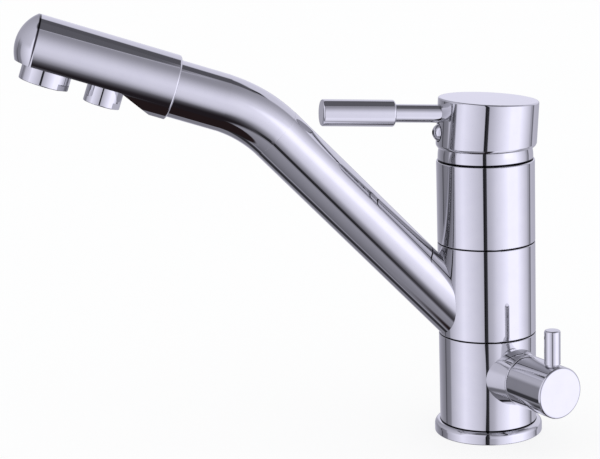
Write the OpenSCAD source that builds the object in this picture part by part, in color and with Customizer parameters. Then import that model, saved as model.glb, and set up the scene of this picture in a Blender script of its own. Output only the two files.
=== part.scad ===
// Three way kitchen mixer tap with a separate filtered water outlet, in millimetres.
// The base stands on the deck at z = 0. The spout and the mixer lever point along -X at rest.

/* [Base] */
// Overhang of the deck flange beyond the body
flange_lip = 2.75; // [2:0.25:8]
// Height of the deck flange
flange_h = 6; // [4.5:0.5:8]
// Diameter of the round body
body_d = 48; // [47.5:0.25:50]
// Height of the fixed lower body above the flange
lower_body_h = 45; // [44:0.5:51]
// Step from the body in to the spigot that centres the flange
spigot_step = 3; // [2:0.25:4]
// Diameter of the column that the spout swivels on
column_d = 36.8; // [36.4:0.1:37]
// Depth of the hose and stud holes in the underside
inlet_depth = 12; // [9:0.5:14]
// Diameter of the M8 holes for the water hoses
inlet_d = 8; // [7:0.25:8.5]
// Diameter of the M8 holes for the fixing studs
stud_hole_d = 8; // [6:0.5:8.5]

/* [Swivel] */
// Height of the swivelling collar
collar_h = 45.65; // [45:0.25:50]
// Visible gap at each swivel joint
joint_gap = 0.3; // [0.25:0.05:0.6]
// Height of the plastic glide rings
glide_h = 3.2; // [2.5:0.1:3.6]
// Wall of the glide rings
glide_wall = 2.5; // [1.5:0.1:3.5]
// Section of the three column O-rings
ring_section = 2.4; // [2.2:0.1:2.5]

/* [Spout] */
// Outer diameter of the spout tube
tube_d = 27.4; // [26.8:0.2:27.6]
// Wall of the spout tube
tube_wall = 1.5; // [1.2:0.1:1.6]
// Rise of the lower spout run above level, in degrees
rise_angle = 46.9; // [45:0.1:48]
// Rise of the outlet head above level, in degrees
head_angle = 19.6; // [15:0.1:25]
// Length of the lower run, from the body axis to the bend
lower_run = 149.9; // [140:0.1:170]
// Radius of the bend on the tube axis
bend_r = 68.4; // [55:0.2:90]
// Length of the upper run, from the bend to the head seam
upper_run = 23.4; // [20:0.2:30]
// Outer diameter of the filtered water tube inside the spout
inner_tube_d = 5.2; // [4.8:0.1:5.4]
// Wall of the filtered water tube
inner_tube_wall = 0.7; // [0.5:0.05:0.9]

/* [Outlet head] */
// Diameter of the outlet head
head_d = 31.4; // [31:0.2:33]
// Length of the head from its seam to the crisp rim
head_len = 67.6; // [66.8:0.2:75]
// Radius of the domed end
dome_r = 19; // [17:0.1:30]
// Rise of the dome centre above the head axis
dome_rise = 0.8; // [0:0.1:1.2]
// Length of the round band next to the seam
head_band = 7.9; // [6:0.1:9]
// Place along the head where the flat underside starts
flat_start = 24.1; // [22:0.1:26]
// Depth of the flat underside below the head axis
flat_drop = 7.8; // [7.4:0.1:8.6]
// Wall of the hollow head
head_wall = 2.5; // [2:0.1:2.8]
// Floor of the hollow head above the flat underside
head_floor = 4; // [3.4:0.1:4]
// Place of the mixed water outlet along the head
mixed_outlet_at = 58.2; // [57:0.1:59]
// Place of the filtered water outlet along the head
filter_outlet_at = 29.9; // [29.6:0.1:31]

/* [Aerators] */
// Diameter of the mixed water aerator
mixed_aerator_d = 23.4; // [22.6:0.1:24]
// Height of the mixed water aerator below the head
mixed_aerator_h = 7.4; // [6.8:0.1:8]
// Diameter of the filtered water aerator
filter_aerator_d = 17.4; // [17:0.1:17.8]
// Height of the filtered water aerator below the head
filter_aerator_h = 9.1; // [8.4:0.1:10]
// Wall of both aerator housings
aerator_wall = 1.5; // [1.2:0.1:1.7]

/* [Upper body] */
// Height of the upper body
upper_body_h = 40.55; // [40.3:0.05:41]
// Height of the cartridge nut
nut_h = 8.05; // [7:0.05:9]
// Dark gap between the upper body and the cover ring
ring_gap = 0.8; // [0.6:0.1:1]
// Height of the lever pivot above the upper body
pivot_rise = 1.2; // [1:0.05:1.4]
// Outer radius of the round cover ring, about the lever pivot
cover_r = 23.25; // [23:0.05:23.3]

/* [Cartridge] */
// Diameter of the mixing cartridge
cartridge_d = 35; // [34.8:0.1:35.2]
// Diameter of the cartridge neck
neck_d = 27; // [26.6:0.1:27.2]
// Diameter of the turning carrier in the neck
carrier_d = 21.4; // [21.4:0.1:21.8]
// Width across flats of the square stem
stem_w = 8; // [7.6:0.1:8.2]
// Diameter of the stem pivot pin
pivot_pin_d = 3; // [2.6:0.1:3.4]
// Diameter of the ball on the lower end of the stem
stem_ball_d = 6; // [5.6:0.1:6.2]

/* [Handle] */
// Diameter of the handle cap
cap_d = 49; // [48.8:0.1:50]
// Radius that eases the top edge of the cap and the ends of the grip
cap_edge = 1; // [0.5:0.1:1.4]
// Height of the cap top above the pivot, along the leaning cap axis
cap_top = 28.5; // [28.2:0.05:31]
// Height of the level rim of the cap above the pivot at rest
cap_rim = 5.3; // [5.2:0.05:5.8]
// Lean of the cap and lever at rest, in degrees
cap_lean = 4; // [3.5:0.1:4]
// Height of the lever above the pivot, along the leaning cap axis
lever_rise = 20.9; // [20.6:0.05:22]
// Diameter of the bare part of the lever rod
rod_d = 8.8; // [8.2:0.1:9.4]
// Distance of the grip from the cap axis
grip_at = 46.9; // [44:0.1:50]
// Diameter of the lever grip
grip_d = 12.9; // [12:0.1:13.4]
// Length of the lever grip
grip_len = 35.8; // [30:0.1:38]
// Diameter of the plug over the grub screw
plug_d = 8.5; // [8:0.1:8.6]
// Height of the plug above the pivot, along the leaning cap axis
plug_rise = 11.7; // [11.5:0.05:11.9]

/* [Filter knob] */
// Height of the filter knob axis above the deck
knob_z = 32.6; // [31:0.1:34]
// Direction of the filter knob about the body, in degrees from +X
knob_turn = -69.5; // [-75:0.5:-66]
// Diameter of the valve boss and of the filter knob
knob_d = 25.3; // [24.8:0.1:25.6]
// Distance of the knob seam from the body axis
knob_seam = 31.1; // [30.7:0.1:32]
// How much wider in radius the valve boss is at the front of the body
boss_flare = 1.4; // [0.8:0.1:1.8]
// Length of the filter knob
knob_len = 25.9; // [25.4:0.1:28]
// Radius that eases the face of the filter knob
knob_edge = 1.1; // [0.5:0.1:1.6]
// Diameter of the upright pin lever on the knob
pin_d = 7.8; // [7.2:0.1:8]
// Distance of the pin lever from the body axis
pin_at = 50.9; // [50.2:0.1:51.6]
// Height of the top of the pin lever above the knob axis
pin_top = 29.9; // [25:0.1:34]
// Diameter of the valve headwork
headwork_d = 16.9; // [16.6:0.1:17.1]
// Diameter of the valve spindle
spindle_d = 8; // [7.8:0.1:8.2]

/* [Hidden] */
$fn = 72;

// Overrun of every cut
cut = 1;
// Clearance of a running fit, on the radius
run = 0.05;
// Clearance between parts that pass each other
pass = 0.3;
// Radius that eases the visible edges
ease = 0.5;

// Heights of the stacked body sections
body_r = body_d / 2;
flange_r = body_r + flange_lip;
column_r = column_d / 2;
spigot_r = body_r - spigot_step;
lower_top = flange_h + lower_body_h;
collar_foot = lower_top + joint_gap;
collar_top = collar_foot + collar_h;
upper_foot = collar_top + joint_gap;
upper_top = upper_foot + upper_body_h;
pivot_z = upper_top + pivot_rise;

// Groove that parts the body from the flange, and the seal groove below
groove_h = 0.5;
groove_depth = 0.6;
flange_land = 0.15;
flange_edge = min(flange_lip - flange_land, 0.45 * flange_h);
seal_h = 1.6;
seal_wall = 3;
seal_inset = 0.9;
seal_inner_r = spigot_r + seal_inset;

// Water ways in the column, as angles from +X and radii from the body axis
hot_turn = 155;
cold_turn = 205;
filtered_turn = 85;
supply_circle_r = 12;
supply_r = 3;
mixed_circle_r = 10.5;
mixed_r = 3;
filtered_circle_r = 12;
filtered_r = 2.2;
inlet_r = inlet_d / 2;
stud_hole_r = stud_hole_d / 2;
stud_circle_r = 14;
stud_spread = 50;
chamber_floor_r = column_r - ring_section;
filtered_chamber_rise = 12.7;
filtered_chamber_z = collar_foot + filtered_chamber_rise;
filtered_chamber_h = 6;
mixed_chamber_rise = 23.9;
mixed_chamber_z = collar_foot + mixed_chamber_rise;
mixed_chamber_h = 12;
ring_heights = [collar_foot + 2.5 * ring_section, mixed_chamber_z - 1.15 * ring_section,
    mixed_chamber_z + mixed_chamber_h + 1.1 * ring_section];
ring_r = ring_section / 2;
glide_r = column_r + run + glide_wall;

// Spout frame: where the spout axis crosses the body axis
spout_root_drop = 4.6;
spout_root_z = collar_foot - spout_root_drop;
tube_r = tube_d / 2;
tube_bore_r = tube_r - tube_wall;
bend_angle = rise_angle - head_angle;
// Both straight runs lap into the bend by this much, and the bend is this much smaller in radius
seam_lap = 1.5;
seam_step = 0.05;
socket_depth = 1.5;
inner_tube_r = inner_tube_d / 2;
mixed_port_r = 3;
port_margin = 0.4;
mixed_port_offset = tube_bore_r - mixed_port_r - port_margin;

// Outlet head
head_r = head_d / 2;
head_edge = 1;
dome_depth = sqrt(dome_r * dome_r - head_r * head_r - dome_rise * dome_rise);
dome_centre = head_len - dome_depth;
ramp_lip = 1;
ramp_drop = head_r - ramp_lip;
neck_r = tube_bore_r - run;
neck_len = 12;
neck_wall = 2.2;
neck_bore_r = neck_r - neck_wall;
head_seal_section = 1.2;
pillar_step = 0.7;
pillar_r = filter_aerator_d / 2 - pillar_step;
pillar_rise = inner_tube_r + head_wall;
mixed_aerator_r = mixed_aerator_d / 2;
filter_aerator_r = filter_aerator_d / 2;
mixed_thread_step = 1.8;
filter_thread_step = 2.5;
mixed_thread_r = mixed_aerator_r - mixed_thread_step;
filter_thread_r = filter_aerator_r - filter_thread_step;
thread_gap = 0.2;
thread_len = head_floor - thread_gap;
filter_bore_ease = 0.4;
mixed_bore_r = mixed_thread_r - aerator_wall;
filter_bore_r = filter_thread_r - aerator_wall + filter_bore_ease;
insert_recess = 0.8;
washer_h = 1.2;
spanner_share = 0.9;
spanner_h = 3;
spanner_turn = 35;

// Upper body and cartridge: the seat lies below the nut by the height of the cartridge
cover_neck_rise = 1.2;
cover_foot = upper_top + ring_gap;
cover_wall = 1.8;
cover_inner_r = cover_r - cover_wall;
cover_neck_r = cover_inner_r - run;
cover_top_rise = 11.2;
cover_neck_wall = 1.4;
nut_r = cover_neck_r - cover_neck_wall;
cartridge_r = cartridge_d / 2;
base_h = 4;
disc_h = 4;
driver_h = 4.2;
rail_h = 3;
rail_w = 13;
rail_wall = 2.25;
carrier_flange_h = 5.8;
cartridge_roof = 2.3;
cartridge_wall = 2.2;
cavity_r = cartridge_r - cartridge_wall;
cavity_h = 2 * disc_h + run + driver_h + carrier_flange_h + 2 * pass;
nut_top = upper_top + cover_neck_rise;
shoulder_z = nut_top - nut_h;
cavity_top = shoulder_z - cartridge_roof;
base_top = cavity_top - cavity_h;
seat_z = base_top - base_h;
fixed_disc_top = base_top + disc_h;
moving_disc_foot = fixed_disc_top + run;
moving_disc_top = moving_disc_foot + disc_h;
carrier_foot = moving_disc_top + driver_h + pass;
carrier_flange_top = carrier_foot + carrier_flange_h;
cartridge_neck_r = neck_d / 2;
neck_rise = 3;
neck_top = pivot_z + neck_rise;
carrier_r = carrier_d / 2;
carrier_top = neck_top - ease;
port_seal_section = 1.6;
port_wall = 0.15;
port_seal_r = supply_r + port_seal_section / 2 + port_wall;
disc_port_circle_r = 7;
disc_port_r = 2;
disc_mixed_offset = 4;
disc_mixed_r = 3;
disc_room = 3.8;
moving_disc_r = cavity_r - disc_room;
disc_shift = 1.9;
pocket_r = 6.3;
pocket_offset = 1.3;
pocket_depth = 2;

// Stem, from the pivot
ball_r = stem_ball_d / 2;
ball_rise = 5;
ball_z = moving_disc_top + ball_rise;
stem_arm = pivot_z - ball_z;
stem_top = 22;
stem_foot = 4;
arm_r = 2;
pivot_pin_r = pivot_pin_d / 2;
pivot_pin_inset = 0.7;
pivot_pin_len = 2 * (carrier_r - pivot_pin_inset);
ball_rest_x = -stem_arm * sin(cap_lean);
slot_back = 8.5;
slot_front = 5.4;
slot_w = stem_w + 2 * pass;

// Handle cap and lever, from the pivot along the leaning cap axis
cap_r = cap_d / 2;
cavity_ball_r = cover_r + pass;
ceiling = 17.2;
boss_r = 9;
boss_foot = 8.9;
rim_round = 3;
rim_rise = 2.2;
rim_lip = 0.1;
rod_r = rod_d / 2;
stud_r = 3;
stud_from = 12.5;
rod_seat = 0.9;
rod_seat_r = rod_r + run;
grip_r = grip_d / 2;
grip_stud = 14;
plug_r = plug_d / 2 - run;
plug_from = sqrt(pow(cavity_ball_r, 2) - pow(plug_rise - plug_r, 2)) + pass / 2;
plug_proud = 2.8;
plug_face = cap_r + plug_proud;
plug_dome_r = plug_r + pass;
plug_sink = 1.1;
plug_socket_r = 1.2;
plug_socket_depth = 1.6;
grub_r = 2.5;

// Filter valve, outwards along the knob axis from the body axis
knob_r = knob_d / 2;
boss_end = knob_seam - pass / 2;
knob_foot = knob_seam + pass / 2;
knob_end = knob_seam + knob_len;
valve_boss_foot = body_r / 2;
valve_boss_r = knob_r + boss_flare * (knob_seam - valve_boss_foot) / (knob_seam - body_r);
valve_floor = 3;
valve_seal_h = 1.5;
valve_disc_h = 2.5;
headwork_r = headwork_d / 2;
valve_bore_r = headwork_r + run;
headwork_wall = 1.35;
valve_room_r = headwork_r - headwork_wall;
valve_disc_r = valve_room_r - 2 * run;
valve_seal_foot = valve_floor;
fixed_foot = valve_seal_foot + valve_seal_h;
moving_foot = fixed_foot + valve_disc_h + run;
moving_end = moving_foot + valve_disc_h;
window_at = filtered_circle_r;
window_ease = 0.2;
window_r = filtered_r + window_ease;
blade_bite = 0.9;
blade_foot = moving_end - blade_bite;
blade_w = 11;
blade_t = 3;
window_land = 0.4;
collar_at = window_at + window_r + window_land;
spindle_collar_h = 1.7;
shoulder_at = collar_at + spindle_collar_h + pass;
headwork_end = boss_end - ease;
spindle_r = spindle_d / 2;
spindle_end = knob_foot + knob_len / 2;
spindle_groove_inset = 3;
spindle_groove_at = shoulder_at + spindle_groove_inset;
spindle_ring_section = 1;
port_hole_r = 1.7;
port_hole_offset = 3.6;
pin_r = pin_d / 2;
pin_from = 6;
pin_neck_r = 3;
pin_gap = 0.5;
screw_r = 2;
screw_bite = 0.3;
screw_at = knob_foot + knob_len / 4;

// Rotates about Z and steps out to a radius
module at_polar(turn, out) {
    rotate([0, 0, turn])
        translate([out, 0, 0])
            children();
}

// Ring along Z between two heights
module ring(outer_r, inner_r, foot, top) {
    difference() {
        translate([0, 0, foot])
            cylinder(r = outer_r, h = top - foot);
        translate([0, 0, foot - cut])
            cylinder(r = inner_r, h = top - foot + 2 * cut);
    }
}

// Round bar along Z with eased edges at the foot and at the top, where zero leaves an edge sharp
module eased_bar(r, foot, top, foot_ease, top_ease) {
    rotate_extrude()
        difference() {
            union() {
                translate([0, foot + foot_ease])
                    square([r, top - top_ease - foot - foot_ease]);
                if (foot_ease > 0)
                    edge_corner(r, foot + foot_ease, foot_ease, foot);
                if (top_ease > 0)
                    edge_corner(r, top - top_ease, top_ease, top - top_ease);
            }
            translate([-r, foot - cut])
                square([r, top - foot + 2 * cut]);
        }
}

// One eased edge of a round bar in section: a quarter round and the band beside it
module edge_corner(r, centre_at, ease_r, band_at) {
    translate([0, band_at])
        square([r - ease_r, ease_r]);
    translate([r - ease_r, centre_at])
        circle(r = ease_r);
}

// Round section swept about Z
module torus(centre_r, section_r) {
    rotate_extrude()
        translate([centre_r, 0])
            circle(r = section_r);
}

// Frame of the lower spout run: Z along the tube, +X to its upper side
module spout_frame() {
    translate([0, 0, spout_root_z])
        rotate([0, rise_angle - 90, 0])
            children();
}

// Frame of the upper spout run, at the end of the bend
module upper_frame() {
    spout_frame()
        translate([-bend_r, 0, lower_run])
            rotate([0, -bend_angle, 0])
                translate([bend_r, 0, 0])
                    children();
}

// Frame of the outlet head: Z from the seam to the tip, +X upwards
module head_frame() {
    upper_frame()
        translate([0, 0, upper_run])
            children();
}

// Frame of an outlet: Z downwards from the head axis
module outlet_frame(along) {
    head_frame()
        translate([0, 0, along])
            rotate([0, -90, 0])
                children();
}

// Frame of the filter valve: Z outwards along the knob axis, +X upwards
module knob_frame() {
    translate([0, 0, knob_z])
        rotate([0, 0, knob_turn])
            rotate([0, 90, 0])
                rotate([0, 0, 180])
                    children();
}

// Frame of the handle: Z along the leaning cap axis, lever towards -X
module cap_frame() {
    translate([0, 0, pivot_z])
        rotate([0, cap_lean, 0])
            children();
}

// Frame of the lever: Z outwards along the lever
module lever_frame() {
    cap_frame()
        translate([0, 0, lever_rise])
            rotate([0, -90, 0])
                children();
}

// Round bar along the spout centreline, from a start on the lower run to an end on the upper run
module spout_sweep(r, start, finish) {
    spout_frame()
        translate([0, 0, start])
            cylinder(r = r, h = lower_run - start + seam_lap);
    spout_frame()
        translate([-bend_r, 0, lower_run])
            rotate([90, 0, 0])
                rotate_extrude(angle = bend_angle)
                    translate([bend_r, 0])
                        circle(r = r - seam_step);
    upper_frame()
        translate([0, 0, -seam_lap])
            cylinder(r = r, h = finish + seam_lap);
}

module base_flange() {
    color("gainsboro")
        difference() {
            eased_bar(flange_r, 0, flange_h, ease, flange_edge);
            translate([0, 0, -cut])
                cylinder(r = spigot_r + run, h = flange_h + 2 * cut);
            ring(seal_inner_r + seal_wall + run, seal_inner_r - run, -cut, seal_h);
        }
}

module base_seal() {
    color("dimgray")
        ring(seal_inner_r + seal_wall, seal_inner_r, 0, seal_h);
}

// Water ways and threaded holes of the lower body
module column_ways() {
    for (turn = [hot_turn, cold_turn])
        at_polar(turn, supply_circle_r) {
            translate([0, 0, -cut])
                cylinder(r = inlet_r, h = inlet_depth + cut);
            cylinder(r = supply_r, h = seat_z + cut);
        }
    at_polar(filtered_turn, supply_circle_r) {
        translate([0, 0, -cut])
            cylinder(r = inlet_r, h = inlet_depth + cut);
        cylinder(r = filtered_r, h = knob_z + filtered_r);
    }
    for (side = [-1, 1])
        at_polar(knob_turn + side * stud_spread, stud_circle_r)
            translate([0, 0, -cut])
                cylinder(r = stud_hole_r, h = inlet_depth + cut);
    filtered_cross_way();
    at_polar(knob_turn, filtered_circle_r)
        translate([0, 0, knob_z])
            cylinder(r = filtered_r, h = filtered_chamber_z + filtered_chamber_h - ring_r - knob_z);
    translate([0, 0, filtered_chamber_z + filtered_chamber_h / 2])
        rotate([0, 0, knob_turn])
            translate([filtered_circle_r, 0, 0])
                rotate([0, 90, 0])
                    cylinder(r = filtered_r, h = column_r);
    at_polar(0, mixed_circle_r)
        translate([0, 0, mixed_chamber_z + mixed_chamber_h / 4])
            cylinder(r = mixed_r, h = seat_z);
    translate([mixed_circle_r, 0, mixed_chamber_z + mixed_chamber_h / 2])
        rotate([0, 90, 0])
            cylinder(r = mixed_r, h = column_r);
}

// Level way from the filtered riser to the valve
module filtered_cross_way() {
    from_x = supply_circle_r * cos(filtered_turn);
    from_y = supply_circle_r * sin(filtered_turn);
    to_x = valve_floor * cos(knob_turn);
    to_y = valve_floor * sin(knob_turn);
    way = sqrt(pow(to_x - from_x, 2) + pow(to_y - from_y, 2));
    translate([from_x, from_y, knob_z])
        rotate([0, 0, atan2(to_y - from_y, to_x - from_x)])
            rotate([0, 90, 0])
                cylinder(r = filtered_r, h = way + valve_seal_h);
}

module lower_body() {
    color("silver")
        difference() {
            union() {
                eased_bar(body_r, flange_h, lower_top, 0, ease);
                cylinder(r = spigot_r, h = lower_top);
                cylinder_column();
                knob_frame() {
                    translate([0, 0, valve_boss_foot])
                        cylinder(r1 = valve_boss_r, r2 = knob_r - run,
                            h = boss_end - ease - valve_boss_foot);
                    translate([0, 0, column_r])
                        eased_bar(knob_r, 0, boss_end - column_r, 0, ease);
                }
            }
            ring(body_r + cut, body_r - groove_depth, flange_h - cut / 2, flange_h + groove_h);
            knob_frame()
                translate([0, 0, valve_floor])
                    cylinder(r = valve_bore_r, h = boss_end);
            column_ways();
            ring(column_r + cut, chamber_floor_r, filtered_chamber_z,
                filtered_chamber_z + filtered_chamber_h);
            ring(column_r + cut, chamber_floor_r, mixed_chamber_z, mixed_chamber_z + mixed_chamber_h);
            for (height = ring_heights)
                ring(column_r + cut, column_r - ring_section + run, height - ring_r - run,
                    height + ring_r + run);
        }
}

// Column that stands on the lower body
module cylinder_column() {
    translate([0, 0, lower_top - cut])
        cylinder(r = column_r, h = seat_z - lower_top + cut);
}

module column_seals() {
    color("black")
        for (height = ring_heights)
            translate([0, 0, height])
                torus(column_r - ring_r + run / 2, ring_r - run / 2);
}

module lower_glide_ring() {
    color("ivory")
        ring(glide_r, column_r + run, lower_top, lower_top + glide_h);
}

module upper_glide_ring() {
    color("ivory")
        ring(glide_r, column_r + run, upper_foot - glide_h, upper_foot);
}

module upper_body() {
    color("silver")
        difference() {
            union() {
                eased_bar(body_r, upper_foot, upper_top, ease, ease);
                translate([0, 0, upper_top - cut])
                    cylinder(r = cover_neck_r, h = nut_top - upper_top + cut);
            }
            translate([0, 0, upper_foot - cut])
                cylinder(r = column_r + run, h = seat_z - upper_foot + cut);
            translate([0, 0, seat_z - cut])
                cylinder(r = cartridge_r + run, h = nut_top - seat_z + 2 * cut);
            translate([0, 0, shoulder_z])
                cylinder(r = nut_r + run, h = nut_top - shoulder_z + cut);
        }
}

// Places of the three ports on the cartridge seat
module at_ports() {
    for (turn = [hot_turn, cold_turn])
        at_polar(turn, supply_circle_r)
            children();
    at_polar(0, mixed_circle_r)
        children();
}

module cartridge_port_seals() {
    color("black")
        at_ports()
            translate([0, 0, seat_z + port_seal_section / 2])
                torus(port_seal_r, port_seal_section / 2);
}

module cartridge_base() {
    color("whitesmoke")
        difference() {
            translate([0, 0, seat_z])
                cylinder(r = cartridge_r, h = base_h);
            at_ports()
                translate([0, 0, seat_z - cut])
                    cylinder(r = port_seal_r + port_seal_section / 2 + run, h = port_seal_section + cut);
            at_ports()
                translate([0, 0, seat_z])
                    cylinder(r = supply_r, h = base_h - disc_port_r / 2);
            for (turn = [hot_turn, cold_turn])
                rotate([0, 0, turn])
                    port_slot(disc_port_circle_r, supply_circle_r, disc_port_r);
            port_slot(disc_mixed_offset, mixed_circle_r, disc_mixed_r);
        }
}

// Shallow slot in the top of the cartridge base that leads a port inwards
module port_slot(inner_at, outer_at, r) {
    depth = base_h / 2 - run;
    translate([inner_at, 0, base_top - depth])
        cylinder(r = r, h = depth + cut);
    translate([outer_at, 0, base_top - depth])
        cylinder(r = r, h = depth + cut);
    translate([inner_at, -r, base_top - depth])
        cube([outer_at - inner_at, 2 * r, depth + cut]);
}

module fixed_mixing_disc() {
    color("white")
        difference() {
            translate([0, 0, base_top])
                cylinder(r = cavity_r - run, h = disc_h);
            for (turn = [hot_turn, cold_turn])
                at_polar(turn, disc_port_circle_r)
                    translate([0, 0, base_top - cut])
                        cylinder(r = disc_port_r, h = disc_h + 2 * cut);
            translate([disc_mixed_offset, 0, base_top - cut])
                cylinder(r = disc_mixed_r, h = disc_h + 2 * cut);
        }
}

module cartridge_housing() {
    color("whitesmoke")
        difference() {
            union() {
                translate([0, 0, base_top])
                    cylinder(r = cartridge_r, h = shoulder_z - base_top);
                translate([0, 0, base_top])
                    cylinder(r = cartridge_neck_r, h = neck_top - base_top);
            }
            translate([0, 0, base_top - cut])
                cylinder(r = cavity_r, h = cavity_top - base_top + cut);
            translate([0, 0, base_top])
                cylinder(r = carrier_r + run, h = neck_top - base_top + cut);
        }
}

module cartridge_nut() {
    slot_w_nut = nut_h / 4;
    color("goldenrod")
        difference() {
            ring(nut_r, cartridge_neck_r + pass, shoulder_z, nut_top);
            for (turn = [0, 90])
                rotate([0, 0, turn])
                    translate([-nut_r - cut, -slot_w_nut / 2, nut_top - slot_w_nut])
                        cube([2 * nut_r + 2 * cut, slot_w_nut, slot_w_nut + cut]);
        }
}

module cover_ring() {
    color("silver")
        difference() {
            translate([0, 0, pivot_z])
                sphere(r = cover_r);
            translate([0, 0, pivot_z])
                sphere(r = cover_inner_r);
            translate([0, 0, cover_foot - cover_r * 2])
                cylinder(r = cover_r + cut, h = cover_r * 2);
            translate([0, 0, pivot_z + cover_top_rise])
                cylinder(r = cover_r + cut, h = cover_r * 2);
        }
}

module cartridge_carrier() {
    color("lightsteelblue")
        difference() {
            union() {
                translate([0, 0, carrier_foot])
                    cylinder(r = cavity_r - pass, h = carrier_flange_h);
                translate([0, 0, carrier_foot])
                    cylinder(r = carrier_r, h = carrier_top - carrier_foot);
            }
            translate([-slot_back, -slot_w / 2, carrier_foot - cut])
                cube([slot_back + slot_front, slot_w, carrier_top - carrier_foot + 2 * cut]);
            translate([-cavity_r, -rail_w / 2 - pass, carrier_foot - cut])
                cube([2 * cavity_r, rail_w + 2 * pass, rail_h + cut]);
            translate([0, 0, pivot_z])
                rotate([90, 0, 0])
                    cylinder(r = pivot_pin_r, h = 2 * carrier_r + 2 * cut, center = true);
        }
}

module stem_pivot_pin() {
    color("lightslategray")
        translate([0, 0, pivot_z])
            rotate([90, 0, 0])
                cylinder(r = pivot_pin_r, h = pivot_pin_len, center = true);
}

module moving_mixing_disc() {
    color("white")
        difference() {
            translate([disc_shift, 0, moving_disc_foot])
                cylinder(r = moving_disc_r, h = disc_h);
            translate([disc_shift + pocket_offset, 0, moving_disc_foot - cut])
                cylinder(r = pocket_r, h = pocket_depth + cut);
        }
}

module disc_driver() {
    socket_r = ball_r + pass;
    rail_len = 2 * (socket_r + rail_wall);
    color("slategray")
        difference() {
            union() {
                translate([disc_shift, 0, moving_disc_top])
                    cylinder(r = moving_disc_r, h = driver_h);
                translate([ball_rest_x - rail_len / 2, -rail_w / 2, moving_disc_top])
                    cube([rail_len, rail_w, driver_h + rail_h]);
            }
            translate([ball_rest_x, 0, ball_z - ball_r - 2 * pass])
                cylinder(r = socket_r, h = driver_h + rail_h + cut);
        }
}

module cartridge_stem() {
    color("lightslategray")
        difference() {
            cap_frame()
                union() {
                    translate([-stem_w / 2, -stem_w / 2, -stem_foot])
                        cube([stem_w, stem_w, stem_top + stem_foot]);
                    translate([0, 0, -stem_arm])
                        cylinder(r = arm_r, h = stem_arm);
                    translate([0, 0, -stem_arm])
                        sphere(r = ball_r);
                }
            translate([0, 0, pivot_z])
                rotate([90, 0, 0])
                    cylinder(r = pivot_pin_r + run, h = 2 * stem_w, center = true);
        }
}

module handle_cap() {
    color("silver")
        difference() {
            cap_frame()
                difference() {
                    union() {
                        difference() {
                            eased_bar(cap_r, -cap_r, cap_top, ease, cap_edge);
                            difference() {
                                sphere(r = cavity_ball_r);
                                translate([0, 0, ceiling])
                                    cylinder(r = cavity_ball_r, h = cap_r);
                            }
                        }
                        translate([0, 0, boss_foot])
                            cylinder(r = boss_r, h = ceiling - boss_foot + cut);
                    }
                    translate([-stem_w / 2 - run, -stem_w / 2 - run, 0])
                        cube([stem_w + 2 * run, stem_w + 2 * run, stem_top + run]);
                    translate([0, 0, plug_rise])
                        rotate([0, -90, 0])
                            cylinder(r = grub_r + run, h = boss_r + cut);
                    translate([0, 0, plug_rise])
                        rotate([0, -90, 0])
                            union() {
                                translate([0, 0, boss_r + cut])
                                    cylinder(r = plug_r + run, h = cap_r);
                                translate([0, 0, cap_r - plug_sink])
                                    cylinder(r = plug_r + pass, h = cap_r);
                            }
                    translate([0, 0, lever_rise])
                        rotate([0, -90, 0])
                            translate([0, 0, stud_from - cut])
                                cylinder(r = stud_r + run, h = cap_r);
                    translate([0, 0, lever_rise])
                        rotate([0, -90, 0])
                            translate([0, 0, cap_r - rod_seat])
                                cylinder(r = rod_seat_r, h = cap_r);
                }
            translate([0, 0, pivot_z + cap_rim - 2 * cap_r])
                cylinder(r = 2 * cap_r, h = 2 * cap_r);
            translate([(cap_rim + rim_rise) * tan(cap_lean), 0, pivot_z + cap_rim])
                cap_rim_cut();
        }
}

// What the rounding of the level rim takes off the cap
module cap_rim_cut() {
    round_at = cap_r + rim_lip - rim_round;
    rotate_extrude()
        difference() {
            translate([round_at, -cut])
                square([rim_round + cut, rim_rise + cut]);
            translate([round_at, rim_rise])
                circle(r = rim_round);
        }
}

module lever_rod() {
    color("silver")
        lever_frame() {
            translate([0, 0, stud_from])
                cylinder(r = stud_r, h = grip_at + grip_stud - stud_from);
            translate([0, 0, cap_r - rod_seat])
                cylinder(r = rod_r, h = grip_at - cap_r + rod_seat);
        }
}

module lever_grip() {
    color("silver")
        lever_frame()
            difference() {
                eased_bar(grip_r, grip_at, grip_at + grip_len, cap_edge, cap_edge);
                translate([0, 0, grip_at - cut])
                    cylinder(r = stud_r + run, h = grip_stud + 2 * cut);
            }
}

module handle_grub_screw() {
    color("dimgray")
        cap_frame()
            translate([0, 0, plug_rise])
                rotate([0, -90, 0])
                    translate([0, 0, stem_w / 2])
                        difference() {
                            cylinder(r = grub_r, h = boss_r - stem_w / 2);
                            translate([0, 0, grub_r])
                                cylinder(r = grub_r / 2, h = boss_r, $fn = 6);
                        }
}

module screw_plug() {
    color("silver")
        cap_frame()
            translate([0, 0, plug_rise])
                rotate([0, -90, 0])
                    difference() {
                        intersection() {
                            translate([0, 0, plug_from])
                                cylinder(r = plug_r, h = cap_r);
                            translate([0, 0, plug_face - plug_dome_r])
                                sphere(r = plug_dome_r);
                        }
                        translate([0, 0, plug_face - plug_socket_depth])
                            cylinder(r = plug_socket_r, h = cap_r, $fn = 6);
                    }
}

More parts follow.
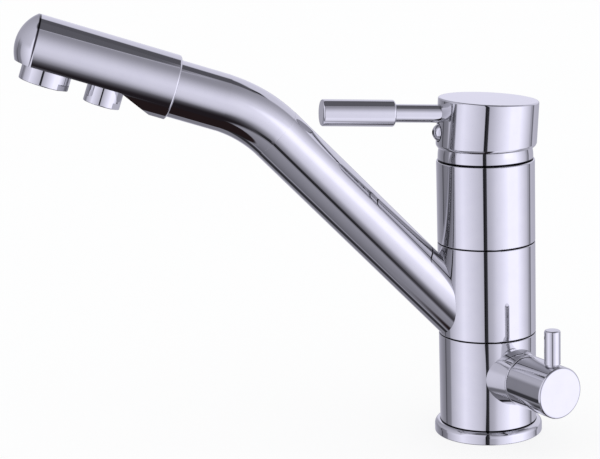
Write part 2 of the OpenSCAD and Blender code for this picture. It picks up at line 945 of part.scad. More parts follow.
module swivel_collar() {
    color("silver")
        difference() {
            eased_bar(body_r, collar_foot, collar_top, ease, ease);
            translate([0, 0, collar_foot - cut])
                cylinder(r = column_r + pass / 4, h = collar_h + 2 * cut);
            translate([0, 0, collar_foot - cut])
                cylinder(r = glide_r + run, h = glide_h - joint_gap + pass + cut);
            translate([0, 0, collar_top - glide_h + joint_gap - pass])
                cylinder(r = glide_r + run, h = glide_h + cut);
            spout_frame()
                cylinder(r = inner_tube_r + run, h = 2 * body_r);
            spout_frame()
                translate([mixed_port_offset, 0, 0])
                    cylinder(r = mixed_port_r, h = 2 * body_r);
            difference() {
                spout_frame()
                    cylinder(r = tube_r + run, h = 3 * body_r);
                cylinder(r = body_r - socket_depth, h = upper_top);
            }
        }
}

module spout_tube() {
    color("silver")
        difference() {
            spout_sweep(tube_r, body_r / 2, upper_run);
            spout_sweep(tube_bore_r, body_r / 4, upper_run + cut);
            cylinder(r = body_r - socket_depth, h = upper_top);
            cylinder(r = body_r + run, h = collar_foot);
        }
}

module filtered_water_tube() {
    tube_end = upper_run + filter_outlet_at - pillar_r / 2;
    color("white")
        difference() {
            spout_sweep(inner_tube_r, column_r, tube_end);
            spout_sweep(inner_tube_r - inner_tube_wall, column_r / 2, tube_end + cut);
            cylinder(r = column_r + pass, h = upper_top);
        }
}

// Solid outside of the head: a round bar with a domed end and a cut away underside
module head_outside(r) {
    difference() {
        intersection() {
            eased_bar(r, 0, dome_centre + dome_r, head_edge, 0);
            union() {
                cylinder(r = 2 * r, h = dome_centre);
                translate([dome_rise, 0, dome_centre])
                    sphere(r = dome_r);
            }
        }
        translate([-flat_drop - 2 * r, -2 * r, flat_start])
            cube([2 * r, 4 * r, 2 * head_len]);
        head_ramp(r);
    }
}

// What is cut away below the flat of the band and below the sloping part of the underside
module head_ramp(r) {
    translate([0, 2 * r, 0])
        rotate([90, 0, 0])
            linear_extrude(height = 4 * r)
                polygon([[-ramp_drop, -cut], [-ramp_drop, head_band], [-flat_drop, flat_start],
                    [-2 * r, flat_start], [-2 * r, -cut]]);
}

module outlet_head() {
    spigot_groove_at = -neck_len / 2;
    color("silver")
        head_frame()
            difference() {
                union() {
                    difference() {
                        head_outside(head_r);
                        intersection() {
                            translate([0, 0, head_band])
                                cylinder(r = head_r - head_wall, h = head_len - head_wall - head_band);
                            translate([-flat_drop + head_floor, -head_r, 0])
                                cube([2 * head_r, 2 * head_r, head_len]);
                        }
                    }
                    translate([0, 0, -neck_len])
                        cylinder(r = neck_r, h = neck_len + cut);
                    translate([-flat_drop + head_floor / 2, 0, filter_outlet_at])
                        rotate([0, 90, 0])
                            cylinder(r = pillar_r, h = flat_drop - head_floor / 2 + pillar_rise);
                }
                translate([0, 0, -neck_len - cut])
                    cylinder(r = neck_bore_r, h = neck_len + head_band + 2 * cut);
                ring_groove(neck_r, head_seal_section, spigot_groove_at);
                translate([0, 0, head_band])
                    cylinder(r = inner_tube_r + run, h = filter_outlet_at - head_band);
                translate([0, 0, filter_outlet_at])
                    rotate([0, -90, 0])
                        cylinder(r = inner_tube_r, h = flat_drop + cut);
                translate([0, 0, filter_outlet_at])
                    rotate([0, -90, 0])
                        translate([0, 0, flat_drop - thread_len - run])
                            cylinder(r = filter_thread_r + run, h = head_r);
                translate([0, 0, filter_outlet_at])
                    rotate([0, -90, 0])
                        translate([0, 0, flat_drop])
                            cylinder(r = filter_aerator_r + pass, h = head_r);
                translate([0, 0, mixed_outlet_at])
                    rotate([0, -90, 0])
                        cylinder(r = mixed_thread_r + run, h = head_r);
            }
}

// Groove cut round a bar along Z
module ring_groove(r, section, height) {
    ring(r + cut, r - section + run, height - section / 2 - run, height + section / 2 + run);
}

module head_seal() {
    color("black")
        head_frame()
            translate([0, 0, -neck_len / 2])
                torus(neck_r - head_seal_section / 2 + run / 2, head_seal_section / 2 - run / 2);
}

// Aerator housing: a threaded spigot above a round cup, with two spanner flats at its rim
module aerator_housing(r, thread_r, height, bore_r) {
    difference() {
        union() {
            translate([0, 0, flat_drop - thread_len])
                cylinder(r = thread_r, h = thread_len + cut);
            eased_bar(r, flat_drop, flat_drop + height, ease / 2, ease);
        }
        translate([0, 0, flat_drop - thread_len - cut])
            cylinder(r = bore_r, h = thread_len + height + 2 * cut);
        for (turn = [spanner_turn, spanner_turn + 180])
            rotate([0, 0, turn])
                translate([spanner_share * r, -r, flat_drop + height - spanner_h])
                    cube([r, 2 * r, spanner_h + cut]);
    }
}

// Aerator insert: a rimmed cup with a grid of square openings across its mouth
module aerator_insert(r, foot, end, bars) {
    rim = r / 6;
    bar_w = r / 12;
    grid_h = r / 4;
    pitch = 2 * r / (bars + 1);
    ring(r, r - rim, foot, end);
    intersection() {
        translate([0, 0, foot])
            cylinder(r = r - rim / 2, h = end - foot);
        union()
            for (index = [1:bars]) {
                translate([-r, -r + index * pitch - bar_w / 2, end - grid_h])
                    cube([2 * r, bar_w, grid_h]);
                translate([-r + index * pitch - bar_w / 2, -r, end - grid_h])
                    cube([bar_w, 2 * r, grid_h]);
            }
    }
}

module mixed_aerator_housing() {
    color("silver")
        outlet_frame(mixed_outlet_at)
            aerator_housing(mixed_aerator_r, mixed_thread_r, mixed_aerator_h, mixed_bore_r);
}

module mixed_aerator_insert() {
    color("lightgray")
        outlet_frame(mixed_outlet_at)
            aerator_insert(mixed_bore_r - run, flat_drop - thread_len + washer_h,
                flat_drop + mixed_aerator_h - insert_recess, 9);
}

module mixed_aerator_washer() {
    color("dimgray")
        outlet_frame(mixed_outlet_at)
            ring(mixed_bore_r - run, mixed_bore_r - aerator_wall, flat_drop - thread_len,
                flat_drop - thread_len + washer_h);
}

module filter_aerator_housing() {
    color("silver")
        outlet_frame(filter_outlet_at)
            aerator_housing(filter_aerator_r, filter_thread_r, filter_aerator_h, filter_bore_r);
}

module filter_aerator_insert() {
    color("lightgray")
        outlet_frame(filter_outlet_at)
            aerator_insert(filter_bore_r - run, flat_drop - thread_len + washer_h,
                flat_drop + filter_aerator_h - insert_recess, 5);
}

module filter_aerator_washer() {
    color("dimgray")
        outlet_frame(filter_outlet_at)
            ring(filter_bore_r - run, filter_bore_r - aerator_wall, flat_drop - thread_len,
                flat_drop - thread_len + washer_h);
}

module filter_seat_seal() {
    color("black")
        knob_frame()
            ring(valve_disc_r, valve_disc_r - 2 * valve_seal_h, valve_seal_foot, fixed_foot);
}

module filter_fixed_disc() {
    color("white")
        knob_frame()
            difference() {
                translate([0, 0, fixed_foot])
                    cylinder(r = valve_disc_r, h = valve_disc_h);
                for (side = [-1, 1])
                    translate([side * port_hole_offset, 0, fixed_foot - cut])
                        cylinder(r = port_hole_r, h = valve_disc_h + 2 * cut);
            }
}

module filter_moving_disc() {
    color("white")
        knob_frame()
            difference() {
                translate([0, 0, moving_foot])
                    cylinder(r = valve_disc_r, h = valve_disc_h);
                for (side = [-1, 1])
                    translate([0, side * port_hole_offset, moving_foot - cut])
                        cylinder(r = port_hole_r, h = valve_disc_h + 2 * cut);
                translate([-blade_w / 2 - run, -blade_t / 2 - run, blade_foot])
                    cube([blade_w + 2 * run, blade_t + 2 * run, valve_disc_h]);
            }
}

module filter_headwork() {
    color("goldenrod")
        knob_frame()
            difference() {
                translate([0, 0, fixed_foot])
                    cylinder(r = headwork_r, h = headwork_end - fixed_foot);
                translate([0, 0, fixed_foot - cut])
                    cylinder(r = valve_room_r, h = shoulder_at - fixed_foot + cut);
                translate([0, 0, fixed_foot])
                    cylinder(r = spindle_r + run, h = headwork_end);
                for (turn = [0, 90])
                    rotate([0, 0, turn])
                        translate([0, 0, window_at])
                            rotate([0, 90, 0])
                                cylinder(r = window_r, h = 2 * headwork_r + 2 * cut, center = true);
            }
}

module filter_spindle() {
    color("lightslategray")
        knob_frame()
            difference() {
                union() {
                    translate([-blade_w / 2, -blade_t / 2, blade_foot])
                        cube([blade_w, blade_t, collar_at - blade_foot]);
                    translate([0, 0, collar_at])
                        cylinder(r = valve_disc_r, h = spindle_collar_h);
                    translate([0, 0, collar_at])
                        cylinder(r = spindle_r, h = spindle_end - collar_at);
                }
                ring_groove(spindle_r, spindle_ring_section, spindle_groove_at);
                translate([-spindle_r - cut, -spindle_r, screw_at - screw_r])
                    cube([cut + screw_bite, 2 * spindle_r, 2 * screw_r]);
            }
}

module filter_spindle_seal() {
    color("black")
        knob_frame()
            translate([0, 0, spindle_groove_at])
                torus(spindle_r - spindle_ring_section / 2 + run / 2,
                    spindle_ring_section / 2 - run / 2);
}

module filter_knob() {
    color("silver")
        knob_frame()
            difference() {
                eased_bar(knob_r, knob_foot, knob_end, ease, knob_edge);
                translate([0, 0, knob_foot - cut])
                    cylinder(r = spindle_r + run, h = spindle_end - knob_foot + cut);
                translate([pin_from, 0, pin_at])
                    rotate([0, 90, 0])
                        cylinder(r = pin_neck_r + run / 2, h = knob_r);
                translate([-spindle_r + cut, 0, screw_at])
                    rotate([0, -90, 0])
                        cylinder(r = screw_r + run, h = knob_r);
            }
}

module filter_knob_pin() {
    color("silver")
        knob_frame()
            translate([0, 0, pin_at])
                rotate([0, 90, 0]) {
                    translate([0, 0, pin_from])
                        cylinder(r = pin_neck_r, h = knob_r + pin_gap - pin_from + cut / 2);
                    eased_bar(pin_r, knob_r + pin_gap, pin_top, ease / 2, 2 * ease);
                }
}

module filter_knob_screw() {
    color("dimgray")
        knob_frame()
            translate([-spindle_r + screw_bite, 0, screw_at])
                rotate([0, -90, 0])
                    difference() {
                        cylinder(r = screw_r, h = knob_r - spindle_r - 2 * ease);
                        translate([0, 0, screw_r])
                            cylinder(r = screw_r / 2, h = knob_r, $fn = 6);
                    }
}

base_flange();
base_seal();
lower_body();
column_seals();
lower_glide_ring();
upper_glide_ring();
upper_body();
cartridge_port_seals();
cartridge_base();
fixed_mixing_disc();
cartridge_housing();
cartridge_nut();
cover_ring();
cartridge_carrier();
stem_pivot_pin();
moving_mixing_disc();
disc_driver();
cartridge_stem();
handle_cap();
lever_rod();
lever_grip();
handle_grub_screw();
screw_plug();
swivel_collar();
spout_tube();
filtered_water_tube();
outlet_head();
head_seal();
mixed_aerator_housing();
mixed_aerator_insert();
mixed_aerator_washer();
filter_aerator_housing();
filter_aerator_insert();
filter_aerator_washer();
filter_seat_seal();
filter_fixed_disc();
filter_headwork();
filter_moving_disc();
filter_spindle();
filter_spindle_seal();
filter_knob();
filter_knob_pin();
filter_knob_screw();
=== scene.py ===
"""Looks of a three way filtered water tap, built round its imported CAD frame."""

import logging
import math
from dataclasses import dataclass, field
from enum import Enum
from typing import Optional

import bpy
from mathutils import Matrix, Vector

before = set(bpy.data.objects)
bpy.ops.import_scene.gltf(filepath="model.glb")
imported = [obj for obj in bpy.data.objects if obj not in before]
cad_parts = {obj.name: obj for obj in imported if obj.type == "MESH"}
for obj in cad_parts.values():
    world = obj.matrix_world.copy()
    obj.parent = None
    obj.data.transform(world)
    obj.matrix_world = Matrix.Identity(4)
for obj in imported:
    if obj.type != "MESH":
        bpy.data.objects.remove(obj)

log = logging.getLogger("tap")

Colour = tuple[float, float, float]
Point = tuple[float, float, float]
Span = tuple[float, float]

MM = 0.001
WHITE: Colour = (1.0, 1.0, 1.0)
RISING: Span = (0.0, 1.0)
FALLING: Span = (1.0, 0.0)


class NodeBench:
    """A short hand for adding and wiring shader nodes in one node tree."""

    BLEND_SOCKETS = (0, 6, 7)
    BLEND_RESULT = 2

    def __init__(self, tree: bpy.types.NodeTree) -> None:
        """Keeps the tree that nodes are added to."""
        self.tree = tree

    def add(self, kind: str, inputs: Optional[dict] = None, **settings: object) -> bpy.types.Node:
        """Adds a node, sets its properties and fills or links its inputs.

        Args:
            kind: the node's type name.
            inputs: socket name or number, to a value or to an output socket.
            **settings: properties of the node.

        Returns:
            The new node.
        """
        node = self.tree.nodes.new(kind)
        for name, value in settings.items():
            setattr(node, name, value)
        for name, value in (inputs or {}).items():
            if isinstance(value, bpy.types.NodeSocket):
                self.tree.links.new(value, node.inputs[name])
            else:
                node.inputs[name].default_value = value
        return node

    def math(self, operation: str, *values: object) -> bpy.types.NodeSocket:
        """Adds a Math node on up to three values or sockets, and returns its output."""
        node = self.add("ShaderNodeMath", dict(enumerate(values)), operation=operation)
        return node.outputs[0]

    def remap(self, value: bpy.types.NodeSocket, span: Span, result: Span = RISING,
              soft: bool = False) -> bpy.types.NodeSocket:
        """Maps a value from one span to another.

        Args:
            value: the socket that is read.
            span: where the result starts and ends.
            result: what it is at these two ends.
            soft: eases in and out at both ends.

        Returns:
            The output socket.
        """
        node = self.add(
            "ShaderNodeMapRange",
            {"Value": value, "From Min": span[0], "From Max": span[1],
             "To Min": result[0], "To Max": result[1]},
            interpolation_type="SMOOTHSTEP" if soft else "LINEAR",
        )
        return node.outputs["Result"]

    def blend(self, share: object, first: object, second: object) -> bpy.types.NodeSocket:
        """Blends two colours or colour sockets by a share, and returns the result's socket."""
        node = self.add("ShaderNodeMix", data_type="RGBA")
        for number, value in zip(self.BLEND_SOCKETS, (share, first, second)):
            socket = node.inputs[number]
            if isinstance(value, bpy.types.NodeSocket):
                self.tree.links.new(value, socket)
            elif isinstance(value, tuple):
                socket.default_value = (*value, 1.0)
            else:
                socket.default_value = value
        return node.outputs[self.BLEND_RESULT]

    def noise(self, place: bpy.types.NodeSocket, scale: float, detail: float = 3.0) -> bpy.types.NodeSocket:
        """Adds a noise pattern with a scale in turns per metre, and returns its height socket."""
        node = self.add("ShaderNodeTexNoise", {"Vector": place, "Scale": scale, "Detail": detail})
        return node.outputs["Fac"]

    def bump(self, height: bpy.types.NodeSocket, depth: float,
             under: Optional[bpy.types.NodeSocket] = None) -> bpy.types.NodeSocket:
        """Adds a bump of a depth in metres, over another one if given, and returns its normal socket."""
        inputs = {"Height": height, "Distance": depth, "Strength": 1.0}
        if under is not None:
            inputs["Normal"] = under
        return self.add("ShaderNodeBump", inputs).outputs["Normal"]


def new_material(name: str) -> tuple[bpy.types.Material, NodeBench, bpy.types.Node, bpy.types.NodeSocket]:
    """Starts a node material.

    Args:
        name: the material's name.

    Returns:
        The material, its bench, its Principled shader and its Object coordinates.
    """
    material = bpy.data.materials.new(name)
    material.use_nodes = True
    material.node_tree.nodes.clear()
    bench = NodeBench(material.node_tree)
    shader = bench.add("ShaderNodeBsdfPrincipled")
    bench.add("ShaderNodeOutputMaterial", {"Surface": shader.outputs[0]})
    place = bench.add("ShaderNodeTexCoord").outputs["Object"]
    return material, bench, shader, place


@dataclass(frozen=True)
class Shade:
    """A narrow gap or tight edge round an axis, darkened with painted shade because the plate mirrors no
    light there.

    It lies between two distances along the axis from its origin and between two radii, in millimetres,
    and fades out over a soft width.
    """

    low: float
    high: float
    inner: float
    outer: float
    origin: Point = (0.0, 0.0, 0.0)
    axis: Point = (0.0, 0.0, 1.0)
    soft: float = 0.12

    def cover(self, bench: NodeBench, place: bpy.types.NodeSocket) -> bpy.types.NodeSocket:
        """Measures how deep a point lies in the gap.

        Args:
            bench: the material's node bench.
            place: the socket with the point.

        Returns:
            A socket that is 1 in the gap and 0 outside.
        """
        start = tuple(value * MM for value in self.origin)
        kind = "ShaderNodeVectorMath"
        arm = bench.add(kind, {0: place, 1: start}, operation="SUBTRACT").outputs[0]
        along = bench.add(kind, {0: arm, 1: self.axis}, operation="DOT_PRODUCT").outputs["Value"]
        length = bench.add(kind, {0: arm}, operation="LENGTH").outputs["Value"]
        square = bench.math("SUBTRACT", bench.math("MULTIPLY", length, length),
                            bench.math("MULTIPLY", along, along))
        out = bench.math("SQRT", bench.math("MAXIMUM", square, 0.0))
        share = None
        for value, low, high in ((along, self.low, self.high), (out, self.inner, self.outer)):
            rise = bench.remap(value, ((low - self.soft) * MM, low * MM))
            fall = bench.remap(value, (high * MM, (high + self.soft) * MM), FALLING)
            both = bench.math("MULTIPLY", rise, fall)
            share = both if share is None else bench.math("MULTIPLY", share, both)
        return share


@dataclass(frozen=True)
class Chrome:
    """Polished chrome plate: nearly even, with faint haze, the slight ripple of a buffed casting, and
    painted shade in gaps and at tight edges.
    """

    name: str = "chrome_plate"
    shades: tuple[Shade, ...] = ()
    shaded: Colour = (0.012, 0.011, 0.013)
    bright: Colour = (0.62, 0.62, 0.63)
    hazed: Colour = (0.60, 0.60, 0.617)
    roughness: Span = (0.025, 0.06)
    ripple_scale: float = 55.0
    ripple_depth: float = 3e-6
    haze_scale: float = 160.0
    haze_tint_span: Span = (0.35, 0.75)
    haze_rough_span: Span = (0.3, 0.8)
    scratch_scale: float = 5200.0
    scratch_depth: float = 4e-8

    def build(self) -> bpy.types.Material:
        """Builds the material and returns it."""
        material, bench, shader, place = new_material(self.name)
        haze = bench.noise(place, self.haze_scale, 4.0)
        colour = bench.blend(bench.remap(haze, self.haze_tint_span), self.bright, self.hazed)
        # Painted shade: inside each gap or tight edge the base colour turns to the near-black shaded colour.
        for shade in self.shades:
            colour = bench.blend(shade.cover(bench, place), colour, self.shaded)
        bench.tree.links.new(colour, shader.inputs["Base Color"])
        shader.inputs["Metallic"].default_value = 1.0
        rough = bench.remap(haze, self.haze_rough_span, self.roughness)
        bench.tree.links.new(rough, shader.inputs["Roughness"])
        ripple = bench.bump(bench.noise(place, self.ripple_scale, 1.0), self.ripple_depth)
        fine = bench.bump(bench.noise(place, self.scratch_scale, 2.0), self.scratch_depth, ripple)
        bench.tree.links.new(fine, shader.inputs["Normal"])
        return material


@dataclass(frozen=True)
class BareMetal:
    """Turned or drawn metal that isn't plated, with fine tool lines."""

    name: str
    light: Colour
    dark: Colour
    roughness: Span = (0.22, 0.4)
    grain_scale: float = 900.0
    grain_depth: float = 3e-6
    grain_stretch: Point = (0.15, 0.15, 1.0)
    stain_share: float = 8.0
    span: Span = (0.3, 0.7)

    def build(self) -> bpy.types.Material:
        """Builds the material and returns it."""
        material, bench, shader, place = new_material(self.name)
        lines = bench.add("ShaderNodeMapping", {"Vector": place, "Scale": self.grain_stretch}).outputs[0]
        grain = bench.noise(lines, self.grain_scale, 5.0)
        stain = bench.noise(place, self.grain_scale / self.stain_share, 3.0)
        bench.tree.links.new(bench.blend(bench.remap(stain, self.span), self.light, self.dark),
                             shader.inputs["Base Color"])
        shader.inputs["Metallic"].default_value = 1.0
        bench.tree.links.new(bench.remap(grain, self.span, self.roughness), shader.inputs["Roughness"])
        bench.tree.links.new(bench.bump(grain, self.grain_depth), shader.inputs["Normal"])
        return material


@dataclass(frozen=True)
class Moulded:
    """Moulded plastic, rubber or fired ceramic: an even colour with a fine surface grain."""

    name: str
    light: Colour
    dark: Colour
    roughness: Span
    grain_scale: float = 2600.0
    grain_depth: float = 4e-6
    specular: float = 0.5
    cloud_share: float = 20.0
    cloud_span: Span = (0.3, 0.7)
    grain_span: Span = (0.25, 0.75)

    def build(self) -> bpy.types.Material:
        """Builds the material and returns it."""
        material, bench, shader, place = new_material(self.name)
        grain = bench.noise(place, self.grain_scale, 4.0)
        cloud = bench.noise(place, self.grain_scale / self.cloud_share, 3.0)
        bench.tree.links.new(bench.blend(bench.remap(cloud, self.cloud_span), self.light, self.dark),
                             shader.inputs["Base Color"])
        shader.inputs["Specular IOR Level"].default_value = self.specular
        bench.tree.links.new(bench.remap(grain, self.grain_span, self.roughness), shader.inputs["Roughness"])
        bench.tree.links.new(bench.bump(grain, self.grain_depth), shader.inputs["Normal"])
        return material


class Slot(Enum):
    """The record's material slots, each with the finish that it shows."""

    CHROME = "chrome"
    BRASS = "brass"
    STEEL = "stainless_steel"
    RUBBER = "seal_rubber"
    GLIDE = "glide_plastic"
    CARTRIDGE = "cartridge_plastic"
    TUBE = "tube_plastic"
    AERATOR = "aerator_plastic"
    CERAMIC = "ceramic"


def leaning_axis(lean: float) -> Point:
    """Returns the direction that points away from the body along -X and rises by an angle in degrees."""
    return (-math.cos(math.radians(lean)), 0.0, math.sin(math.radians(lean)))


CAP_AXIS_Z = 139.0
PLUG_RISE = 11.7
PLUG_AXIS = leaning_axis(4.0)
PLUG_ROOT: Point = (PLUG_RISE * PLUG_AXIS[2], 0.0, CAP_AXIS_Z - PLUG_RISE * PLUG_AXIS[0])
HEAD_AXIS = leaning_axis(19.6)
HEAD_RIM: Point = (-216.2, 0.0, 204.75)

# Painted shade in the gaps between the body's parts and under the cover ring, where the plate mirrors no
# light.
FOOT_SHADE = Shade(5.95, 6.55, 23.0, 24.12)
LOWER_SHADE = Shade(50.86, 51.44, 23.0, 24.2)
UPPER_SHADE = Shade(96.81, 97.39, 23.0, 24.2)
NECK_SHADE = Shade(137.78, 138.72, 19.0, 23.4)
# Painted reflection: a dark band at the head's dome rim stands in for what a small rounding, which the mesh
# lacks, would mirror.
RIM_SHADE = Shade(-0.85, -0.2, 15.2, 16.0, HEAD_RIM, HEAD_AXIS, 0.3)
# Painted shade in the recess round the screw plug and in its socket.
PLUG_SHADE = Shade(20.0, 24.9, 4.2, 4.75, PLUG_ROOT, PLUG_AXIS, 0.05)
SOCKET_SHADE = Shade(25.0, 27.2, 0.0, 1.5, PLUG_ROOT, PLUG_AXIS, 0.1)


@dataclass
class FinishSet:
    """One material for each of the record's slots, and chrome with painted shade at the gaps and edges where
    these show.
    """

    finishes: dict[Slot, object] = field(default_factory=lambda: {
        Slot.CHROME: Chrome(),
        Slot.BRASS: BareMetal("turned_brass", (0.86, 0.64, 0.31), (0.74, 0.52, 0.24)),
        Slot.STEEL: BareMetal("stainless_steel", (0.66, 0.65, 0.64), (0.55, 0.54, 0.53)),
        Slot.RUBBER: Moulded(
            "black_seal_rubber", (0.020, 0.020, 0.021), (0.013, 0.013, 0.014), (0.55, 0.75)),
        Slot.GLIDE: Moulded(
            "dark_glide_plastic", (0.028, 0.028, 0.030), (0.018, 0.018, 0.020), (0.35, 0.5)),
        Slot.CARTRIDGE: Moulded(
            "white_cartridge_plastic", (0.80, 0.80, 0.78), (0.74, 0.74, 0.72), (0.3, 0.45)),
        Slot.TUBE: Moulded(
            "clear_blue_tube_plastic", (0.62, 0.68, 0.74), (0.55, 0.62, 0.69), (0.25, 0.4)),
        Slot.AERATOR: Moulded(
            "grey_aerator_plastic", (0.50, 0.51, 0.53), (0.42, 0.43, 0.45), (0.3, 0.5)),
        Slot.CERAMIC: Moulded(
            "fired_ceramic", (0.83, 0.81, 0.76), (0.78, 0.76, 0.71), (0.08, 0.16), specular=0.6),
    })
    # Chrome with painted shade in the joint gaps, the neck gap, round the plug, in its socket and at the
    # head's dome rim.
    gap_shaded: dict[str, Chrome] = field(default_factory=lambda: {
        "base_flange": Chrome("chrome_flange", (FOOT_SHADE,)),
        "lower_body": Chrome("chrome_lower_body", (LOWER_SHADE, FOOT_SHADE)),
        "swivel_collar": Chrome("chrome_collar", (LOWER_SHADE, UPPER_SHADE)),
        "upper_body": Chrome("chrome_upper_body", (UPPER_SHADE, NECK_SHADE)),
        "cover_ring": Chrome("chrome_cover_ring", (NECK_SHADE,)),
        "handle_cap": Chrome("chrome_cap", (PLUG_SHADE,)),
        "screw_plug": Chrome("chrome_plug", (SOCKET_SHADE,)),
        "outlet_head": Chrome("chrome_head", (RIM_SHADE,), (0.035, 0.03, 0.036)),
    })
    made: dict[str, bpy.types.Material] = field(default_factory=dict)

    def get(self, slot: Slot, node: str = "") -> bpy.types.Material:
        """Returns the finish of a slot on a node, and builds it the first time.

        Args:
            slot: the record's material slot.
            node: the CAD node, for those whose chrome gets painted shade in gaps and at edges.

        Returns:
            The material.
        """
        finish = self.finishes[slot]
        if slot is Slot.CHROME:
            finish = self.gap_shaded.get(node, finish)
        if finish.name not in self.made:
            self.made[finish.name] = finish.build()
        return self.made[finish.name]


def dress_frame(finishes: FinishSet) -> None:
    """Gives every CAD node the finish of its own material slot.

    Args:
        finishes: the materials by slot.
    """
    for name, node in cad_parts.items():
        for place in node.material_slots:
            slot = Slot(place.material.name.split(".")[0])
            place.material = finishes.get(slot, name)
        log.info("frame node %s dressed", name)


PLATE_SHARE = 0.62
COOL_TINT: Colour = (0.985, 0.97, 1.15)


def around(middle: float, width: float) -> Span:
    """Returns the span of a width round a middle value."""
    return (middle - width / 2, middle + width / 2)


def mirrored(grey: float) -> Colour:
    """Works out how bright a patch of the studio is from the grey level it gives in the chrome.

    Args:
        grey: the level that the picture shows, from 0 to 1.

    Returns:
        The patch's linear colour, with the cool tint of the studio's paper.
    """
    linear = grey / 12.92 if grey <= 0.04045 else ((grey + 0.055) / 1.055) ** 2.4
    return tuple(linear / PLATE_SHARE * tint for tint in COOL_TINT)


@dataclass(frozen=True)
class Panel:
    """A lit or dark patch of the studio that the chrome mirrors.

    Bearings are in degrees round the tap from the side that the camera stands on, anticlockwise from above,
    and heights in degrees above the horizon. A panel with no half_width goes all round, and one with a far
    tone fades to it towards its higher bearing.
    """

    name: str
    tone: Colour
    low: float
    high: float
    low_soft: float = 8.0
    high_soft: float = 8.0
    bearing: float = 0.0
    half_width: Optional[float] = None
    side_soft: float = 6.0
    far: Optional[Colour] = None

    def cover(self, bench: NodeBench, bearing: bpy.types.NodeSocket, height: bpy.types.NodeSocket,
              under: bpy.types.NodeSocket) -> bpy.types.NodeSocket:
        """Lays the panel over what is there so far.

        Args:
            bench: the world's node bench.
            bearing: the socket with the direction's bearing.
            height: the socket with its height.
            under: the colour so far.

        Returns:
            The colour with the panel on it.
        """
        foot = bench.remap(height, around(self.low, self.low_soft), soft=True)
        top = bench.remap(height, around(self.high, self.high_soft), FALLING, soft=True)
        share = bench.math("MULTIPLY", foot, top)
        tone = self.tone
        if self.half_width is not None:
            turned = bench.math("WRAP", bench.math("SUBTRACT", bearing, self.bearing), 180.0, -180.0)
            side = bench.remap(bench.math("ABSOLUTE", turned), around(self.half_width, self.side_soft),
                               FALLING, soft=True)
            share = bench.math("MULTIPLY", share, side)
            if self.far is not None:
                tone = bench.blend(bench.remap(turned, (-self.half_width, self.half_width)), tone, self.far)
        return bench.blend(share, under, tone)


@dataclass(frozen=True)
class Viewpoint:
    """Where the photo was taken from: lengths in metres and angles in degrees."""

    focal_pixels: float = 1857.9
    picture_pixels: float = 600.0
    sensor_mm: float = 36.0
    pitch: float = 12.512
    yaw: float = -5.860
    roll: float = -1.912
    place: Point = (0.0, -0.8958, 0.3034)
    turn: float = -16.5
    reach: Span = (0.01, 200.0)

    def matrix(self) -> Matrix:
        """Works out the camera's place and direction."""
        pitch, yaw, roll = (math.radians(x) for x in (self.pitch, self.yaw, self.roll))
        ahead = Vector((math.sin(yaw) * math.cos(pitch), math.cos(yaw) * math.cos(pitch), -math.sin(pitch)))
        right = Vector((math.cos(yaw), -math.sin(yaw), 0.0))
        up = right.cross(ahead)
        rolled = math.cos(roll) * right + math.sin(roll) * up
        above = -math.sin(roll) * right + math.cos(roll) * up
        axes = Matrix((rolled, above, -ahead)).transposed().to_4x4()
        axes.translation = Vector(self.place)
        return Matrix.Rotation(math.radians(self.turn), 4, "Z") @ axes

    def build(self) -> bpy.types.Object:
        """Places the camera and returns it."""
        data = bpy.data.cameras.new("camera")
        data.sensor_width = self.sensor_mm
        data.lens = self.focal_pixels / self.picture_pixels * data.sensor_width
        data.clip_start, data.clip_end = self.reach
        camera = bpy.data.objects.new("camera", data)
        bpy.context.scene.collection.objects.link(camera)
        camera.matrix_world = self.matrix()
        bpy.context.scene.camera = camera
        return camera


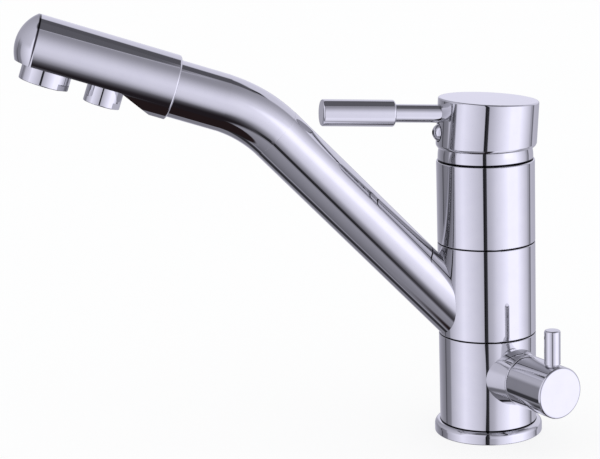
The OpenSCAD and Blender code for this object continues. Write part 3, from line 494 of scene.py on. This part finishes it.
@dataclass
class Studio:
    """The plain pale floor, the soft light round the tap and the camera."""

    camera_bearing: float = -106.5
    base_tone: Colour = mirrored(0.62)
    panels: tuple[Panel, ...] = (
        Panel("dark_floor", (0.0233, 0.0143, 0.0158), -99.0, -63.0, high_soft=3.5),
        Panel("low_left", mirrored(0.39), -63.0, -26.0, 3.5, 4.0, -57.0, 45.0, 10.0, mirrored(0.54)),
        Panel("low_left_dark", mirrored(0.17), -66.0, -36.0, 3.5, 12.0, -124.0, 15.0, 16.0),
        Panel("low_left_back", mirrored(0.46), -62.0, -26.0, 8.0, 4.0, -157.0, 17.0, 12.0),
        Panel("belt", mirrored(0.62), -30.0, 61.0, 4.0, 1.5),
        Panel("floor_right", mirrored(0.88), -70.0, -18.0, 56.0, 12.0, 56.0, 36.0, 18.0),
        Panel("front_left", mirrored(0.90), -34.5, 60.0, 9.0, 4.0, -30.0, 27.0, 2.0, mirrored(0.69)),
        Panel("left", mirrored(0.60), -34.5, 60.0, 7.0, 4.0, -81.0, 24.5, 2.0, mirrored(0.90)),
        Panel("left_dark", mirrored(0.42), -32.0, 16.0, 3.0, 14.0, -109.0, 10.5, 5.0, mirrored(0.50)),
        Panel("left_back", mirrored(0.61), -32.0, 8.0, 3.0, 14.0, -141.0, 20.0, 4.0, mirrored(0.47)),
        Panel("left_line", mirrored(0.30), -32.0, 2.0, 3.0, 8.0, -118.5, 2.4, 2.4),
        Panel("left_low_line", mirrored(0.20), -34.0, -23.0, 3.0, 5.0, -111.0, 7.0, 5.0),
        Panel("dome_light", mirrored(0.56), 14.0, 56.0, 14.0, 3.0, -108.0, 48.0, 6.0, mirrored(0.75)),
        Panel("dome_edge", mirrored(0.34), 54.5, 58.0, 2.0, 2.0, -104.0, 48.0, 8.0),
        Panel("front_right", mirrored(0.66), -36.0, 60.5, 8.0, 1.5, 28.0, 27.0, 2.0, mirrored(0.97)),
        Panel("right_white", mirrored(0.97), -30.0, 60.5, 8.0, 1.5, 67.0, 14.0, 3.0),
        Panel("right", mirrored(0.96), -30.0, 60.5, 8.0, 1.5, 97.0, 17.0, 2.0, mirrored(0.70)),
        Panel("right_grey", mirrored(0.54), 30.0, 60.5, 56.0, 1.5, 62.0, 58.0, 20.0),
        Panel("right_glow", mirrored(1.0), 0.0, 20.0, 10.0, 12.0, 59.0, 13.0, 14.0),
        Panel("thin_gap", mirrored(0.42), -30.0, 14.0, 3.0, 4.0, 124.0, 3.2, 3.0),
        Panel("back_low", mirrored(0.70), -30.0, 8.0, 3.0, 8.0, 144.0, 16.0, 5.0, mirrored(0.62)),
        Panel("back", mirrored(0.775), 2.5, 45.5, 5.0, 3.5, 161.0, 36.0, 8.0),
        Panel("back_spot", mirrored(0.12), 42.0, 51.0, 4.0, 4.0, 128.0, 6.0, 7.0),
        Panel("back_dark", mirrored(0.31), 47.5, 62.0, 3.0, 1.0, 144.0, 28.0, 8.0),
        Panel("ceiling", mirrored(0.34), 61.0, 99.0, 1.5, 1.0),
        Panel("front_floor", (0.021, 0.0165, 0.021), -99.0, -29.0, 1.0, 50.0, 5.0, 14.0, 14.0),
        Panel("front_gap", mirrored(0.17), -42.0, 84.0, 5.0, 4.0, -1.8, 4.4, 2.0),
        Panel("front_core", mirrored(0.09), -44.0, 84.0, 5.0, 4.0, -4.0, 1.5, 1.5),
    )
    soft_light: Colour = (0.96, 0.965, 0.975)
    floor_half: float = 40.0
    floor_clouded: Colour = (0.99, 0.99, 0.99)
    floor_cloud_scale: float = 6.0
    floor_cloud_span: Span = (0.3, 0.7)
    shadow_share: float = 0.22
    view: Viewpoint = Viewpoint()

    def build_world(self) -> None:
        """Builds the world: white behind the tap, soft light on it, and the panels in its mirror."""
        world = bpy.data.worlds.new("studio")
        world.use_nodes = True
        world.node_tree.nodes.clear()
        bench = NodeBench(world.node_tree)
        way = bench.add("ShaderNodeTexCoord").outputs["Generated"]
        axes = bench.add("ShaderNodeSeparateXYZ", {0: way})
        turn = bench.math("DEGREES", bench.math("ARCTAN2", axes.outputs[1], axes.outputs[0]))
        bearing = bench.math("SUBTRACT", turn, self.camera_bearing)
        height = bench.math("DEGREES", bench.math("ARCSINE", axes.outputs[2]))
        colour = bench.add("ShaderNodeRGB")
        colour.outputs[0].default_value = (*self.base_tone, 1.0)
        tone = colour.outputs[0]
        for panel in self.panels:
            tone = panel.cover(bench, bearing, height, tone)
        path = bench.add("ShaderNodeLightPath")
        lit = bench.blend(path.outputs["Is Glossy Ray"], self.soft_light, tone)
        seen = bench.blend(path.outputs["Is Camera Ray"], lit, WHITE)
        light = bench.add("ShaderNodeBackground", {"Color": seen, "Strength": 1.0})
        bench.add("ShaderNodeOutputWorld", {"Surface": light.outputs[0]})
        bpy.context.scene.world = world

    def build_floor(self) -> bpy.types.Object:
        """Lays the pale floor, which keeps the tap's shadow, and returns it."""
        bpy.ops.object.select_all(action="DESELECT")
        bpy.ops.mesh.primitive_plane_add(size=2 * self.floor_half, location=(0, 0, 0))
        floor = bpy.context.active_object
        floor.name = "floor"
        material = bpy.data.materials.new("white_floor")
        material.use_nodes = True
        material.node_tree.nodes.clear()
        bench = NodeBench(material.node_tree)
        place = bench.add("ShaderNodeTexCoord").outputs["Object"]
        cloud = bench.remap(bench.noise(place, self.floor_cloud_scale), self.floor_cloud_span)
        paper = bench.add("ShaderNodeBsdfDiffuse", {"Color": bench.blend(cloud, WHITE, self.floor_clouded)})
        glow = bench.add("ShaderNodeEmission", {"Color": (*WHITE, 1.0), "Strength": 1.0})
        path = bench.add("ShaderNodeLightPath")
        share = bench.math("MULTIPLY", path.outputs["Is Camera Ray"], 1.0 - self.shadow_share)
        mixed = bench.add("ShaderNodeMixShader", {0: share, 1: paper.outputs[0], 2: glow.outputs[0]})
        bench.add("ShaderNodeOutputMaterial", {"Surface": mixed.outputs[0]})
        floor.data.materials.append(material)
        floor.visible_glossy = False
        return floor

    def build(self) -> None:
        """Builds the world, the floor and the camera."""
        self.build_world()
        self.build_floor()
        self.view.build()
        bpy.context.scene.view_settings.view_transform = "Standard"
        log.info("studio: floor, %d panels, camera", len(self.panels))


def main() -> None:
    """Builds the tap's looks in order."""
    logging.basicConfig(level=logging.INFO, format="%(name)s: %(message)s")
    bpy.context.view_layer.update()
    finishes = FinishSet()
    dress_frame(finishes)
    Studio().build()


if __name__ == "__main__":
    main()
